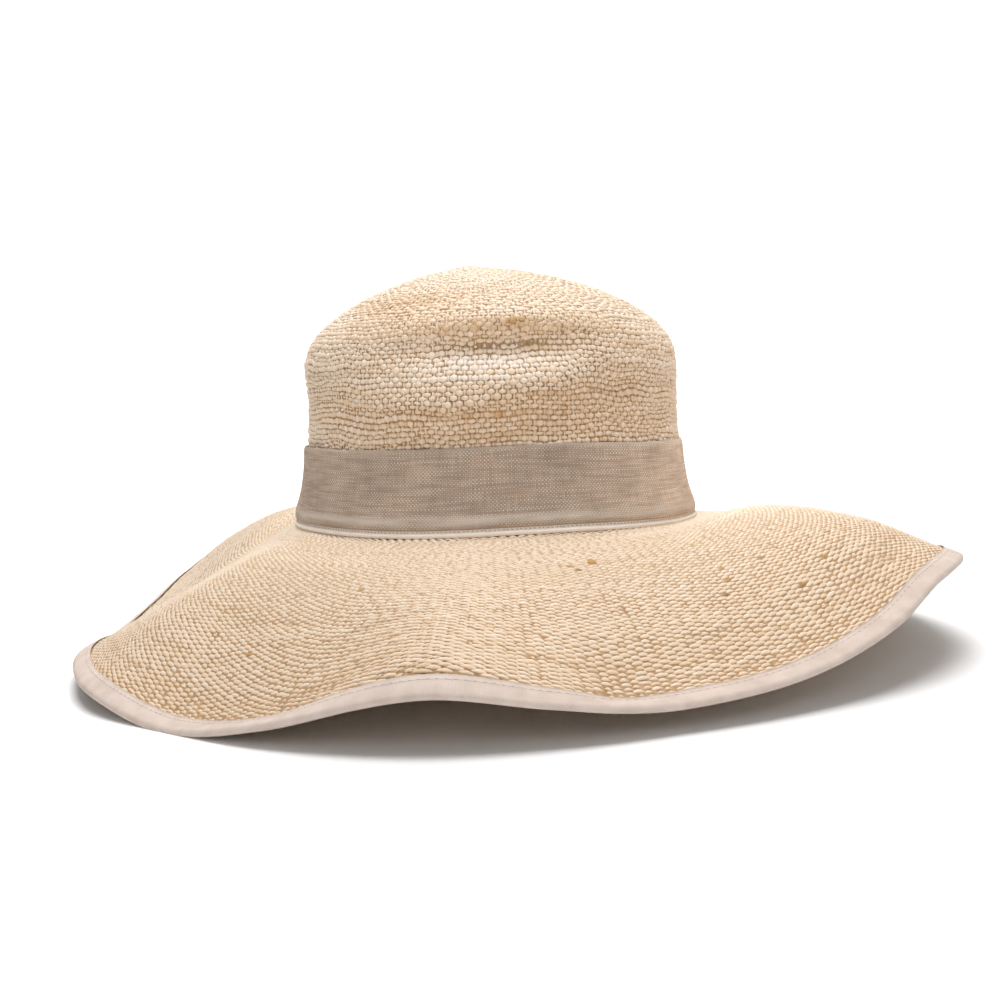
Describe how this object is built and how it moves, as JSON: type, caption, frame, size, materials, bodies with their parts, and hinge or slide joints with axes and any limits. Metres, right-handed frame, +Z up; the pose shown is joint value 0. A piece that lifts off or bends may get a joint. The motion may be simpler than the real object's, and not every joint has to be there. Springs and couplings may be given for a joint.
{
  "type": "sun hat",
  "caption": "Wide-brimmed sun hat of woven straw: rounded crown, linen band with a piped lower edge, wavy brim bound with cotton tape.",
  "frame": {"origin": "on the surface that the hat rests on, under the middle of its box", "axes": "+Z up through the crown, -Y towards the hat's front"},
  "size_m": [0.416, 0.4166, 0.185],
  "materials": {
    "straw": "woven paper straw, matt with a faint sheen",
    "linen": "coarse plain weave, matt",
    "piping": "cream cotton, matt",
    "tape": "beige ribbed cotton tape, matt"
  },
  "bodies": {
    "root": {"crown": "straw", "brim": "straw", "hat_band": "linen", "band_piping": "piping", "brim_binding": "tape"}
  },
  "joints": []
}
